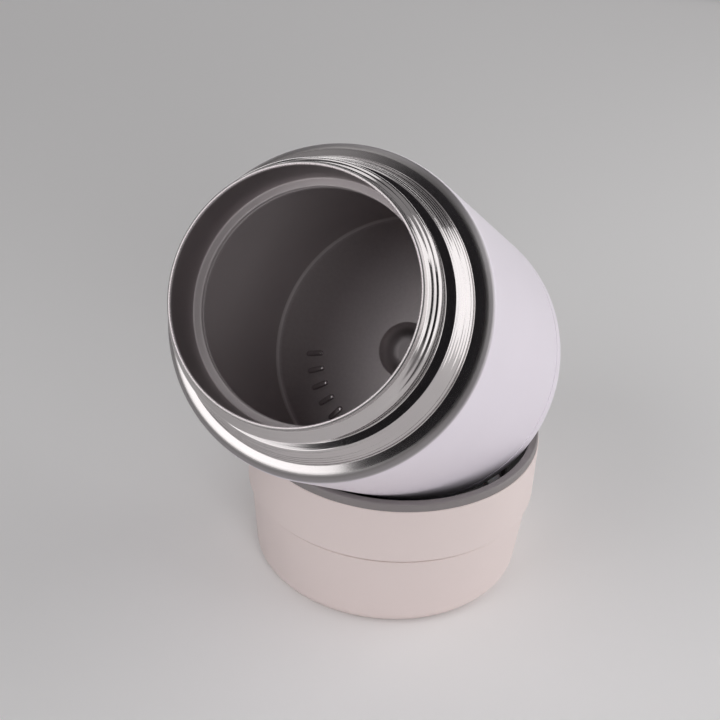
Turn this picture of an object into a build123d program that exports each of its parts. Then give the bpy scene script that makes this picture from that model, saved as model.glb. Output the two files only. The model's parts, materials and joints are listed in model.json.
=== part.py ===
from build123d import *
import os
from math import cos, hypot, radians, sin, sqrt

# Insulated food jar leaning in its own upturned lid.
# +Z is up, the origin is the middle of the flat face the upturned lid stands on, millimetres.
# The jar leans in the YZ plane, mouth towards -Y.  Jar depths are measured from the lip towards
# the base; lid heights are measured from the standing face.

# ---- jar: steel and overall ----
JAR_HEIGHT = 130.3          # lip to standing ring
MOUTH_RADIUS = 36.0         # inside of the lip
SHELL_WALL = 0.5            # outer steel sheet
VESSEL_WALL = 0.5           # inner steel sheet
VACUUM_GAP = 3.1            # between the two sheets
JAR_TILT = 53.5             # jar axis from upright, degrees

# ---- jar, neck: how far each roll stands out, from the lip outwards ----
UPPER_ROLL_RISE = 2.9
UPPER_ROLL_TAPER = 0.4
GROOVE_DROP = 1.4
COLLAR_ROLL_STEP = 2.9
COLLAR_ROLL_FLARE = 3.1
SHOULDER_TUCK = 0.1
SHOULDER_WIDTH = 5.2
SHOULDER_DROP = 1.8         # crest of the shoulder inside the body
LIP_BEND = 1.4              # inside bend radii, from the lip downwards
UPPER_ROLL_BEND = 2.4
UPPER_ROLL_END_BEND = 1.4
GROOVE_BEND = 0.7
COLLAR_ROLL_BEND = 0.9
SHOULDER_FOOT_BEND = 0.6
SHOULDER_CREST_BEND = 1.6
BODY_BEND = 3.0
LIP_RADIUS = MOUTH_RADIUS + VESSEL_WALL + SHELL_WALL
UPPER_ROLL_RADIUS = LIP_RADIUS + UPPER_ROLL_RISE
GROOVE_RADIUS = UPPER_ROLL_RADIUS - GROOVE_DROP
COLLAR_ROLL_RADIUS = GROOVE_RADIUS + COLLAR_ROLL_STEP
NECK_RADIUS = COLLAR_ROLL_RADIUS + COLLAR_ROLL_FLARE
BODY_RADIUS = NECK_RADIUS + SHOULDER_WIDTH

# ---- jar, neck: lengths from the lip downwards ----
LIP_LAND = 3.2              # the two sheets welded together
UPPER_ROLL_LEAD = 3.6
UPPER_ROLL_LENGTH = 5.8
GROOVE_LEAD = 3.3
COLLAR_ROLL_LEAD = 0.7
COLLAR_ROLL_LENGTH = 7.5
SHOULDER_LEAD = 1.7
SHOULDER_CREST_LEAD = 1.4
SHOULDER_LENGTH = 3.8
UPPER_ROLL_START = LIP_LAND + UPPER_ROLL_LEAD
UPPER_ROLL_END = UPPER_ROLL_START + UPPER_ROLL_LENGTH
GROOVE_DEPTH = UPPER_ROLL_END + GROOVE_LEAD
COLLAR_ROLL_START = GROOVE_DEPTH + COLLAR_ROLL_LEAD
COLLAR_ROLL_END = COLLAR_ROLL_START + COLLAR_ROLL_LENGTH
SHOULDER_FOOT_DEPTH = COLLAR_ROLL_END + SHOULDER_LEAD
SHOULDER_CREST_DEPTH = SHOULDER_FOOT_DEPTH + SHOULDER_CREST_LEAD
BODY_START = SHOULDER_CREST_DEPTH + SHOULDER_LENGTH

# ---- jar, base ----
BASE_CAP_HEIGHT = 9.3       # standing ring to the joint line
SEAM_GAP = 0.4
SEAM_BEND = 0.6             # body turning in at the joint line
SKIRT_BEND = 0.3
BASE_EDGE_RADIUS = 3.5      # rounding under the body
FOOT_RING_WIDTH = 5.7       # flat part of the standing ring
FOOT_RECESS = 1.4
FOOT_RECESS_SLOPE = 1.0
FOOT_RING_BEND = 0.8
SKIRT_LENGTH = 5.2          # necked-in body inside the base cap
VACUUM_FLOOR_DROP = 0.8     # below the joint line
SEAL_POCKET_RADIUS = 7.5
SEAL_POCKET_SLOPE = 1.2
SEAL_POCKET_HEIGHT = 1.6
SEAL_POCKET_BEND = 0.8
VACUUM_FLOOR_BEND = 2.2
SEAL_RADIUS = 3.2
SEAL_THICKNESS = 1.1
SEAL_EDGE = 0.5
GETTER_RADIUS = 6.5
GETTER_THICKNESS = 2.0
GETTER_LIP = 1.2
GETTER_HOLLOW = 0.5
GETTER_EDGE = 0.4
GETTER_OFFSET = 25.0
SEAM_DEPTH = JAR_HEIGHT - BASE_CAP_HEIGHT
SKIRT_END = SEAM_DEPTH + SKIRT_LENGTH
VACUUM_FLOOR_DEPTH = SEAM_DEPTH + VACUUM_FLOOR_DROP
FOOT_RING_INNER = BODY_RADIUS - BASE_EDGE_RADIUS - FOOT_RING_WIDTH

# ---- jar, inside ----
LEDGE_DEPTH = 17.8
BORE_TAPER = 0.5            # the bore widens this much down to the ledge
LEDGE_WIDTH = 2.4
THROAT_LENGTH = 4.2
THROAT_TAPER = 0.1
VESSEL_SHOULDER_LENGTH = 11.5
LEDGE_BEND = 0.5
THROAT_BEND = 0.7
THROAT_END_BEND = 2.0
VESSEL_SHOULDER_BEND = 6.0
FLOOR_LIFT = 7.2            # vessel floor above the joint line
FLOOR_EDGE_RADIUS = 3.2
DIMPLE_RADIUS = 9.4
DIMPLE_DEPTH = 2.8
DIMPLE_SLOPE = 3.0
DIMPLE_EDGE = 0.9
DIMPLE_BEND = 3.0
FOIL_THICKNESS = 0.2
FOIL_TOP_MARGIN = 6.5
FOIL_BOTTOM_MARGIN = 5.8
BORE_RADIUS = MOUTH_RADIUS + BORE_TAPER
LEDGE_INNER_RADIUS = BORE_RADIUS - LEDGE_WIDTH
THROAT_END = LEDGE_DEPTH + THROAT_LENGTH
VESSEL_RADIUS = BODY_RADIUS - SHELL_WALL - VACUUM_GAP - VESSEL_WALL
VESSEL_SHOULDER_DEPTH = THROAT_END + VESSEL_SHOULDER_LENGTH
FLOOR_DEPTH = SEAM_DEPTH - FLOOR_LIFT
FOIL_START = VESSEL_SHOULDER_DEPTH + FOIL_TOP_MARGIN
FOIL_END = FLOOR_DEPTH - FOIL_BOTTOM_MARGIN
TICK_COUNT = 5              # plain raised bars on the floor
TICK_RING_RADIUS = 32.0
TICK_LENGTH = 5.6
TICK_WIDTH = 1.5
TICK_HEIGHT = 0.35
TICK_PITCH = 10.0           # degrees between neighbouring bars
TICK_MIDDLE = 217.0         # direction of the middle bar, degrees round the jar axis

# ---- lid: radii, from the neck it screws over outwards ----
NECK_CLEARANCE = 1.5        # rim ring round the lower roll
LINER_MOUTH_WALL = 1.1
COLLAR_WALL = 2.1
RING_INSET = 0.4            # grey rim inside the white edge
RING_EDGE = 0.7
RING_MOUTH_EDGE = 0.6
LINER_STEP_BEND = 0.8
LINER_STEP_EDGE = 0.6
GASKET_SEAT_BEND = 0.4
PLATE_EDGE = 0.6
COLLAR_TAPER = 0.2
COLLAR_FOOT_EDGE = 0.5
COLLAR_TOP_EDGE = 0.4
LINE_STEP = 1.0             # top cap inside the collar at the parting line
CAP_TAPER = 2.6
CAP_WALL = 2.2
CAP_EDGE_RADIUS = 5.0
CAP_RIM_EDGE = 0.4
THREAD_CLEARANCE = 0.7
THREAD_BITE = 0.6
LINER_WALL = 1.7
SPIGOT_WALL = 1.5
SPIGOT_EDGE = 0.8
WEB_BEND = 0.8
SEAL_GROOVE_DEPTH = 0.9
SEAL_CLEARANCE = 0.05
CAP_SEAL_EDGE = 0.8
PLATE_INSET = 3.0           # raised middle of the inner floor, inside the mouth
GASKET_MARGIN = 1.4
GASKET_EDGE = 0.5
RING_INNER_RADIUS = NECK_RADIUS + NECK_CLEARANCE
COLLAR_INNER_RADIUS = RING_INNER_RADIUS + LINER_MOUTH_WALL
LID_RADIUS = COLLAR_INNER_RADIUS + COLLAR_WALL
COLLAR_FOOT_RADIUS = LID_RADIUS - COLLAR_TAPER
CAP_TOP_RADIUS = COLLAR_FOOT_RADIUS - LINE_STEP
CAP_LOW_RADIUS = CAP_TOP_RADIUS - CAP_TAPER
THREAD_ROOT_RADIUS = UPPER_ROLL_RADIUS + THREAD_CLEARANCE
THREAD_CREST_RADIUS = UPPER_ROLL_RADIUS - THREAD_BITE
SPIGOT_INNER_RADIUS = THREAD_ROOT_RADIUS + LINER_WALL
SPIGOT_RADIUS = SPIGOT_INNER_RADIUS + SPIGOT_WALL
PLATE_RADIUS = MOUTH_RADIUS - PLATE_INSET
GASKET_INNER_RADIUS = PLATE_RADIUS + GASKET_MARGIN
GASKET_OUTER_RADIUS = THREAD_ROOT_RADIUS - GASKET_MARGIN

# ---- lid: heights above the standing face ----
LINE_HEIGHT = 29.8          # parting line between collar and top cap
LINE_GAP = 0.1              # collar above the top cap's rim
COLLAR_HEIGHT = 20.0        # parting line to white edge
RING_HEIGHT = 2.8           # grey rim above the white edge
RIM_LANDING = 0.2           # rim ring rests this far below the foot of the shoulder
GASKET_THICKNESS = 1.7
PLATE_RISE = 1.5            # raised middle above the gasket
LINER_FLOOR = 2.0
LINER_STEP_LEAD = 0.9
LINER_STEP_THICKNESS = 1.6
THREAD_SETBACK = 2.0
THREAD_WIDTH = 2.0
THREAD_ROOT_SINK = 0.3
THREAD_SLOPES = (0.2, 0.4, 0.6, 0.8)  # where the profile turns, as shares of its width
THREAD_SEGMENTS = 4
THREAD_ARC = 62.0           # degrees
FOAM_THICKNESS = 5.3
DECK_THICKNESS = 2.0
WEB_THICKNESS = 2.0
SEAL_CORD = 2.4             # cord thickness of the cap seal
SEAL_SETBACK = 7.4          # cap seal below the parting line
REST_CLEARANCE = 0.3        # between the leaning jar and the lid
LID_HEIGHT = LINE_HEIGHT + COLLAR_HEIGHT
RIM_TOP = LID_HEIGHT + RING_HEIGHT
GASKET_TOP = RIM_TOP - SHOULDER_FOOT_DEPTH - RIM_LANDING
GASKET_SEAT_HEIGHT = GASKET_TOP - GASKET_THICKNESS
PLATE_HEIGHT = GASKET_TOP + PLATE_RISE
LINER_STEP_HEIGHT = GASKET_TOP + GROOVE_DEPTH - LINER_STEP_LEAD
THREAD_HEIGHT = LINER_STEP_HEIGHT - THREAD_SETBACK
DECK_TOP = GASKET_SEAT_HEIGHT - LINER_FLOOR - FOAM_THICKNESS
DECK_HEIGHT = DECK_TOP - DECK_THICKNESS
SEAL_GROOVE_HEIGHT = LINE_HEIGHT - SEAL_SETBACK
SEAL_LOW = SEAL_GROOVE_HEIGHT - SEAL_CORD / 2
SEAL_HIGH = SEAL_GROOVE_HEIGHT + SEAL_CORD / 2


def depth(value):
    """Height above the jar's base of a depth below its lip."""
    return JAR_HEIGHT - value


def unit(a, b):
    """Direction from corner a to corner b."""
    length = hypot(b[0] - a[0], b[1] - a[1])
    return (b[0] - a[0]) / length, (b[1] - a[1]) / length


def bent_edges(corners):
    """Lines through (radius, height, bend) corners with a tangent arc in every bend."""
    edges = []
    last = Vector(corners[0][0], 0, corners[0][1])
    for before, here, after in zip(corners, corners[1:], corners[2:]):
        point = Vector(here[0], 0, here[1])
        if here[2] > 0:
            ux, uz = unit(before, here)
            vx, vz = unit(here, after)
            turn = ux * vx + uz * vz
            half_tangent = sqrt((1 - turn) / (1 + turn))
            reach = here[2] * half_tangent
            start = point - Vector(ux, 0, uz) * reach
            end = point + Vector(vx, 0, vz) * reach
            inward = Vector(vx - ux, 0, vz - uz).normalized()
            middle = point + inward * here[2] * (sqrt(1 + half_tangent ** 2) - 1)
            edges.append(Line(last, start))
            edges.append(ThreePointArc(start, middle, end))
            last = end
        else:
            edges.append(Line(last, point))
            last = point
    edges.append(Line(last, Vector(corners[-1][0], 0, corners[-1][1])))
    return edges


def shifted(corners, wall):
    """The corners moved sideways by wall, to the left of the direction of travel."""
    normals = []
    for a, b in zip(corners, corners[1:]):
        ux, uz = unit(a, b)
        normals.append((-uz, ux))
    moved = [(corners[0][0] + wall * normals[0][0], corners[0][1] + wall * normals[0][1], 0)]
    for here, n, m in zip(corners[1:], normals, normals[1:]):
        scale = wall / (1 + n[0] * m[0] + n[1] * m[1])
        left_turn = n[0] * m[1] - n[1] * m[0] > 0
        bend = here[2] - wall if left_turn else here[2] + wall
        bend = max(bend, 0) if here[2] > 0 else 0
        moved.append((here[0] + scale * (n[0] + m[0]), here[1] + scale * (n[1] + m[1]), bend))
    moved.append((corners[-1][0] + wall * normals[-1][0], corners[-1][1] + wall * normals[-1][1], 0))
    return moved


def turned(edges):
    """Solid of revolution about Z from edges in the XZ half plane."""
    return revolve(Face(Wire(edges)), Axis.Z)


def turned_sheet(corners, wall):
    """Sheet of constant thickness turned about Z; the wall lies left of the corners' path."""
    inner = shifted(corners, wall)
    near = bent_edges(corners)
    far = bent_edges(inner)
    first = Line(Vector(corners[0][0], 0, corners[0][1]), Vector(inner[0][0], 0, inner[0][1]))
    last = Line(Vector(corners[-1][0], 0, corners[-1][1]), Vector(inner[-1][0], 0, inner[-1][1]))
    return turned(near + [last] + far + [first])


def turned_block(corners):
    """Solid turned from a closed outline of (radius, height, bend) corners starting unbent."""
    return turned(bent_edges(list(corners) + [corners[0]]))


def ring(inner, outer, low, high):
    """Plain ring between two radii and two heights."""
    return turned_block([(inner, low, 0), (outer, low, 0), (outer, high, 0), (inner, high, 0)])


# ---- jar pieces, standing upright on Z = 0 before they are leaned ----

def outer_shell():
    """Spun body: welded lip, two rolls, shoulder, straight wall and necked-in skirt."""
    skirt = BODY_RADIUS - SHELL_WALL
    corners = [
        (LIP_RADIUS, depth(0), 0),
        (LIP_RADIUS, depth(LIP_LAND), LIP_BEND),
        (UPPER_ROLL_RADIUS, depth(UPPER_ROLL_START), UPPER_ROLL_BEND),
        (UPPER_ROLL_RADIUS - UPPER_ROLL_TAPER, depth(UPPER_ROLL_END), UPPER_ROLL_END_BEND),
        (GROOVE_RADIUS, depth(GROOVE_DEPTH), GROOVE_BEND),
        (COLLAR_ROLL_RADIUS, depth(COLLAR_ROLL_START), COLLAR_ROLL_BEND),
        (NECK_RADIUS, depth(COLLAR_ROLL_END), COLLAR_ROLL_BEND),
        (NECK_RADIUS - SHOULDER_TUCK, depth(SHOULDER_FOOT_DEPTH), SHOULDER_FOOT_BEND),
        (BODY_RADIUS - SHOULDER_DROP, depth(SHOULDER_CREST_DEPTH), SHOULDER_CREST_BEND),
        (BODY_RADIUS, depth(BODY_START), BODY_BEND),
        (BODY_RADIUS, depth(SEAM_DEPTH - SHELL_WALL), SEAM_BEND),
        (skirt, depth(SEAM_DEPTH), SKIRT_BEND),
        (skirt, depth(SKIRT_END), 0),
    ]
    return turned_sheet(corners, -SHELL_WALL)


def inner_vessel():
    """Food vessel: bore, seat ledge, throat, wide wall, floor with a sunk middle, raised bars."""
    corners = [
        (MOUTH_RADIUS, depth(0), 0),
        (MOUTH_RADIUS, depth(LIP_LAND), 0),
        (BORE_RADIUS, depth(LEDGE_DEPTH), LEDGE_BEND),
        (LEDGE_INNER_RADIUS, depth(LEDGE_DEPTH), THROAT_BEND),
        (LEDGE_INNER_RADIUS + THROAT_TAPER, depth(THROAT_END), THROAT_END_BEND),
        (VESSEL_RADIUS, depth(VESSEL_SHOULDER_DEPTH), VESSEL_SHOULDER_BEND),
        (VESSEL_RADIUS, depth(FLOOR_DEPTH), FLOOR_EDGE_RADIUS),
        (DIMPLE_RADIUS, depth(FLOOR_DEPTH), DIMPLE_EDGE),
        (DIMPLE_RADIUS - DIMPLE_SLOPE, depth(FLOOR_DEPTH + DIMPLE_DEPTH), DIMPLE_BEND),
        (0, depth(FLOOR_DEPTH + DIMPLE_DEPTH), 0),
    ]
    vessel = turned_sheet(corners, VESSEL_WALL)
    for step in range(TICK_COUNT):
        angle = TICK_MIDDLE + (step - (TICK_COUNT - 1) / 2) * TICK_PITCH
        bar = Box(TICK_LENGTH, TICK_WIDTH, TICK_HEIGHT + VESSEL_WALL / 2)
        place = Rot(0, 0, angle) * Pos(TICK_RING_RADIUS, 0, depth(FLOOR_DEPTH) + TICK_HEIGHT / 2
                                       - VESSEL_WALL / 4)
        vessel = vessel + place * bar
    return vessel


def base_cap():
    """Pressed cover under the body with a rounded edge and a standing ring."""
    corners = [
        (BODY_RADIUS, depth(SEAM_DEPTH + SEAM_GAP), 0),
        (BODY_RADIUS, depth(JAR_HEIGHT), BASE_EDGE_RADIUS),
        (FOOT_RING_INNER, depth(JAR_HEIGHT), FOOT_RING_BEND),
        (FOOT_RING_INNER - FOOT_RECESS_SLOPE, depth(JAR_HEIGHT - FOOT_RECESS), FOOT_RING_BEND),
        (0, depth(JAR_HEIGHT - FOOT_RECESS), 0),
    ]
    return turned_sheet(corners, -SHELL_WALL)


def vacuum_floor():
    """Dish welded into the skirt; closes the vacuum space and carries the seal pocket."""
    rim = BODY_RADIUS - 2 * SHELL_WALL
    corners = [
        (rim, depth(SKIRT_END), 0),
        (rim, depth(VACUUM_FLOOR_DEPTH), VACUUM_FLOOR_BEND),
        (SEAL_POCKET_RADIUS, depth(VACUUM_FLOOR_DEPTH), SEAL_POCKET_BEND),
        (SEAL_POCKET_RADIUS - SEAL_POCKET_SLOPE,
         depth(VACUUM_FLOOR_DEPTH - SEAL_POCKET_HEIGHT), SEAL_POCKET_BEND),
        (0, depth(VACUUM_FLOOR_DEPTH - SEAL_POCKET_HEIGHT), 0),
    ]
    return turned_sheet(corners, SHELL_WALL)


def vacuum_seal():
    """Bead that closes the evacuation hole."""
    top = depth(VACUUM_FLOOR_DEPTH - SEAL_POCKET_HEIGHT) - SHELL_WALL
    return turned_block([(0, top, 0), (SEAL_RADIUS, top, 0),
                         (SEAL_RADIUS, top - SEAL_THICKNESS, SEAL_EDGE), (0, top - SEAL_THICKNESS, 0)])


def getter():
    """Gas-absorbing pellet in its tin, standing on the vacuum floor."""
    tin = turned_block([(0, 0, 0), (GETTER_RADIUS, 0, 0), (GETTER_RADIUS, GETTER_THICKNESS, GETTER_EDGE),
                        (GETTER_RADIUS - GETTER_LIP, GETTER_THICKNESS, 0),
                        (GETTER_RADIUS - GETTER_LIP, GETTER_THICKNESS - GETTER_HOLLOW, 0),
                        (0, GETTER_THICKNESS - GETTER_HOLLOW, 0)])
    return Pos(GETTER_OFFSET, 0, depth(VACUUM_FLOOR_DEPTH)) * tin


def foil_wrap():
    """Heat-reflecting foil round the vessel."""
    inner = VESSEL_RADIUS + VESSEL_WALL
    return ring(inner, inner + FOIL_THICKNESS, depth(FOIL_END), depth(FOIL_START))


# ---- lid pieces, upturned, standing on Z = 0 ----

def cap_radius(height):
    """Outside radius of the top cap's tapered side."""
    share = (height - CAP_EDGE_RADIUS) / (LINE_HEIGHT - CAP_EDGE_RADIUS)
    return CAP_LOW_RADIUS + (CAP_TOP_RADIUS - CAP_LOW_RADIUS) * share


def top_cap():
    """Moulded cap with a flat top, rounded edge and tapered side."""
    rim = LINE_HEIGHT - LINE_GAP
    return turned_block([
        (0, 0, 0),
        (cap_radius(0), 0, CAP_EDGE_RADIUS),
        (cap_radius(rim), rim, CAP_RIM_EDGE),
        (cap_radius(rim) - CAP_WALL, rim, CAP_RIM_EDGE),
        (cap_radius(CAP_WALL) - CAP_WALL, CAP_WALL, CAP_EDGE_RADIUS - CAP_WALL),
        (0, CAP_WALL, 0),
    ])


def lid_collar():
    """Moulded collar: tapered skirt, web, spigot that enters the cap, deck across it."""
    return turned_block([
        (0, DECK_HEIGHT, 0),
        (SPIGOT_RADIUS, DECK_HEIGHT, SPIGOT_EDGE),
        (SPIGOT_RADIUS, SEAL_LOW, 0),
        (SPIGOT_RADIUS - SEAL_GROOVE_DEPTH, SEAL_LOW, 0),
        (SPIGOT_RADIUS - SEAL_GROOVE_DEPTH, SEAL_HIGH, 0),
        (SPIGOT_RADIUS, SEAL_HIGH, 0),
        (SPIGOT_RADIUS, LINE_HEIGHT, 0),
        (COLLAR_FOOT_RADIUS, LINE_HEIGHT, COLLAR_FOOT_EDGE),
        (LID_RADIUS, LID_HEIGHT, COLLAR_TOP_EDGE),
        (COLLAR_INNER_RADIUS, LID_HEIGHT, 0),
        (COLLAR_INNER_RADIUS, LINE_HEIGHT + WEB_THICKNESS, WEB_BEND),
        (SPIGOT_INNER_RADIUS, LINE_HEIGHT + WEB_THICKNESS, 0),
        (SPIGOT_INNER_RADIUS, DECK_TOP, 0),
        (0, DECK_TOP, 0),
    ])


def thread_liner():
    """Grey moulding: rim ring, wide mouth, threaded wall, gasket seat, raised floor."""
    seat = GASKET_SEAT_HEIGHT
    liner = turned_block([
        (0, PLATE_HEIGHT - LINER_FLOOR, 0),
        (PLATE_RADIUS - LINER_FLOOR, PLATE_HEIGHT - LINER_FLOOR, 0),
        (PLATE_RADIUS - LINER_FLOOR, seat - LINER_FLOOR, 0),
        (SPIGOT_INNER_RADIUS, seat - LINER_FLOOR, 0),
        (SPIGOT_INNER_RADIUS, LINER_STEP_HEIGHT - LINER_STEP_THICKNESS, 0),
        (COLLAR_INNER_RADIUS, LINER_STEP_HEIGHT - LINER_STEP_THICKNESS, 0),
        (COLLAR_INNER_RADIUS, LID_HEIGHT, 0),
        (LID_RADIUS - RING_INSET, LID_HEIGHT, 0),
        (LID_RADIUS - RING_INSET, RIM_TOP, RING_EDGE),
        (RING_INNER_RADIUS, RIM_TOP, RING_MOUTH_EDGE),
        (RING_INNER_RADIUS, LINER_STEP_HEIGHT, LINER_STEP_BEND),
        (THREAD_ROOT_RADIUS, LINER_STEP_HEIGHT, LINER_STEP_EDGE),
        (THREAD_ROOT_RADIUS, seat, GASKET_SEAT_BEND),
        (PLATE_RADIUS, seat, 0),
        (PLATE_RADIUS, PLATE_HEIGHT, PLATE_EDGE),
        (0, PLATE_HEIGHT, 0),
    ])
    middle = (THREAD_ROOT_RADIUS + THREAD_CREST_RADIUS) / 2
    radii = (middle, THREAD_CREST_RADIUS, THREAD_CREST_RADIUS, middle)
    profile = turned_block([
        (THREAD_ROOT_RADIUS + THREAD_ROOT_SINK, THREAD_HEIGHT - THREAD_WIDTH, 0),
        (THREAD_ROOT_RADIUS + THREAD_ROOT_SINK, THREAD_HEIGHT, 0),
    ] + [(radius, THREAD_HEIGHT - THREAD_WIDTH * share, 0)
         for radius, share in zip(radii, THREAD_SLOPES)])
    reach = 2 * THREAD_ROOT_RADIUS
    for step in range(THREAD_SEGMENTS):
        start = step * 360 / THREAD_SEGMENTS
        sector = extrude(make_face(Polyline(
            (0, 0), (reach * cos(radians(start)), reach * sin(radians(start))),
            (reach * cos(radians(start + THREAD_ARC)), reach * sin(radians(start + THREAD_ARC))),
            (0, 0))), LID_HEIGHT)
        liner = liner + (profile & sector)
    return liner


def lid_gasket():
    """Flat silicone ring on its seat round the raised floor; the jar's lip presses on it."""
    seat = GASKET_SEAT_HEIGHT
    return turned_block([
        (GASKET_INNER_RADIUS, seat, 0),
        (GASKET_OUTER_RADIUS, seat, 0),
        (GASKET_OUTER_RADIUS, GASKET_TOP, GASKET_EDGE),
        (GASKET_INNER_RADIUS, GASKET_TOP, 0),
    ])


def lid_insulation():
    """Foam filling between the collar's deck and the liner's floor."""
    seat = GASKET_SEAT_HEIGHT - LINER_FLOOR
    top = PLATE_HEIGHT - LINER_FLOOR
    return turned_block([
        (0, DECK_TOP, 0),
        (SPIGOT_INNER_RADIUS, DECK_TOP, 0),
        (SPIGOT_INNER_RADIUS, seat, 0),
        (PLATE_RADIUS - LINER_FLOOR, seat, 0),
        (PLATE_RADIUS - LINER_FLOOR, top, 0),
        (0, top, 0),
    ])


def cap_seal():
    """Silicone ring in the spigot's groove that grips the top cap."""
    root = SPIGOT_RADIUS - SEAL_GROOVE_DEPTH
    crest = cap_radius(SEAL_LOW) - CAP_WALL - SEAL_CLEARANCE
    return turned_block([
        (root, SEAL_LOW, 0),
        (crest, SEAL_LOW, CAP_SEAL_EDGE),
        (crest, SEAL_HIGH, CAP_SEAL_EDGE),
        (root, SEAL_HIGH, 0),
    ])


# ---- where the leaning jar comes to rest: on the lid's raised floor and its front rim ----

TILT_SIN = sin(radians(JAR_TILT))
TILT_COS = cos(radians(JAR_TILT))
BASE_Z = (PLATE_HEIGHT + REST_CLEARANCE + BASE_EDGE_RADIUS * (1 - TILT_COS)
          + (BODY_RADIUS - BASE_EDGE_RADIUS) * TILT_SIN)
BASE_Y = (-RING_INNER_RADIUS
          + (BODY_RADIUS + REST_CLEARANCE + (RIM_TOP - BASE_Z) * TILT_SIN) / TILT_COS)
LEAN = Pos(0, BASE_Y, BASE_Z) * Rot(JAR_TILT, 0, 0)

JAR_PIECES = [outer_shell, inner_vessel, base_cap, vacuum_floor, vacuum_seal, getter, foil_wrap]
LID_PIECES = [top_cap, lid_collar, thread_liner, lid_gasket, lid_insulation, cap_seal]

os.makedirs("parts", exist_ok=True)
for piece in JAR_PIECES:
    export_step(LEAN * piece(), f"parts/{piece.__name__}.step")
for piece in LID_PIECES:
    export_step(piece(), f"parts/{piece.__name__}.step")
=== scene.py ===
import json
from math import ceil, cos, pi, radians, sin, tan

import bpy
from bpy.props import FloatProperty, FloatVectorProperty, IntProperty, PointerProperty
from mathutils import Matrix, Vector


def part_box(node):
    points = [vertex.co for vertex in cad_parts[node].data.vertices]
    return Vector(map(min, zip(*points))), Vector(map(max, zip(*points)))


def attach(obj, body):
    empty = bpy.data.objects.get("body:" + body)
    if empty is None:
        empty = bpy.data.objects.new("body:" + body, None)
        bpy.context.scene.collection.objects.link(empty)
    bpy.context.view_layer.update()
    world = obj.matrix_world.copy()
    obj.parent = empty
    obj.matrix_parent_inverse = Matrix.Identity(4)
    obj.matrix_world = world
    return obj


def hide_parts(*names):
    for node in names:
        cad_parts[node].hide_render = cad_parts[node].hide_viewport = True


bl_info = {
    "name": "Insulated Food Jar",
    "version": (1, 0, 0),
    "blender": (4, 5, 0),
    "location": "View3D > Sidebar > Food Jar",
    "description": "Dresses a steel food jar that leans in its own upturned screw lid",
    "category": "Object",
}

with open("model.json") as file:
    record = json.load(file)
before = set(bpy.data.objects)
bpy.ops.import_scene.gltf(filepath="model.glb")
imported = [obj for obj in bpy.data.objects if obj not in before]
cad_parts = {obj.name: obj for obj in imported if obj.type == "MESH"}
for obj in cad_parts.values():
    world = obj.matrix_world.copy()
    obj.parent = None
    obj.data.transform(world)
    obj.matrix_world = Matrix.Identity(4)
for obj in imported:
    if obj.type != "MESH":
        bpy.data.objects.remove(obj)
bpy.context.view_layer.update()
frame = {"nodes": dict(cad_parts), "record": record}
MM = 0.001


# ---- sizes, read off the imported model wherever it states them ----

def low(node):
    """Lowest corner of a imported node."""
    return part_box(node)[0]


def high(node):
    """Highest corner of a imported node."""
    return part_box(node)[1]


def mount(name):
    """The record's entry for a mount."""
    return next(entry for entry in frame["record"]["mounts"] if entry["name"] == name)


JAR_AXIS = -Vector(mount("jar_foot")["axis"])            # from the foot to the mouth
JAR_TILT = Vector((0, 0, 1)).angle(JAR_AXIS)
JAR_FOOT = Vector((0, mount("jar_foot")["pos_m"][1], mount("jar_foot")["pos_m"][2]))
LEAN = Matrix.Translation(JAR_FOOT) @ Matrix.Rotation(JAR_TILT, 4, "X")

BODY_RADIUS = high("base_cap").x
STEEL = 0.5 * MM                 # both sheets
VACUUM_GAP = 3.1 * MM
RING_INSET = 0.4 * MM            # grey ring inside the white collar
LID_RADIUS = high("thread_liner").x + RING_INSET
RIM_TOP = high("thread_liner").z
LID_HEIGHT = high("lid_collar").z
LINE_GAP = 0.1 * MM
LINE_WIDTH = 1.2 * MM            # shadow line that the rounded edges leave
LINE_HEIGHT = high("top_cap").z + LINE_GAP
GASKET_SEAT = low("lid_gasket").z
DECK_TOP = low("lid_insulation").z
DECK_LOW = low("lid_collar").z
LINER_FLOOR = 2.0 * MM
PLATE_TOP = high("lid_insulation").z + LINER_FLOOR
FLOOR_DEPTH = 113.8 * MM         # vessel floor below the lip
SEAM_DEPTH = 121.0 * MM          # joint line between shell and base cap
ARC_STEP = radians(7)            # longest turn between two points of a bend
RIDGE_PITCH = 1.3 * MM           # rolling ridges
RIDGE_HEIGHT = 0.075 * MM
RIDGE_SHARES = (1.0, 0.5, 0.85, 0.35, 0.7)   # of the height, ridge after ridge
RIDGE_STEPS = 10                 # points along one ridge

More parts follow.
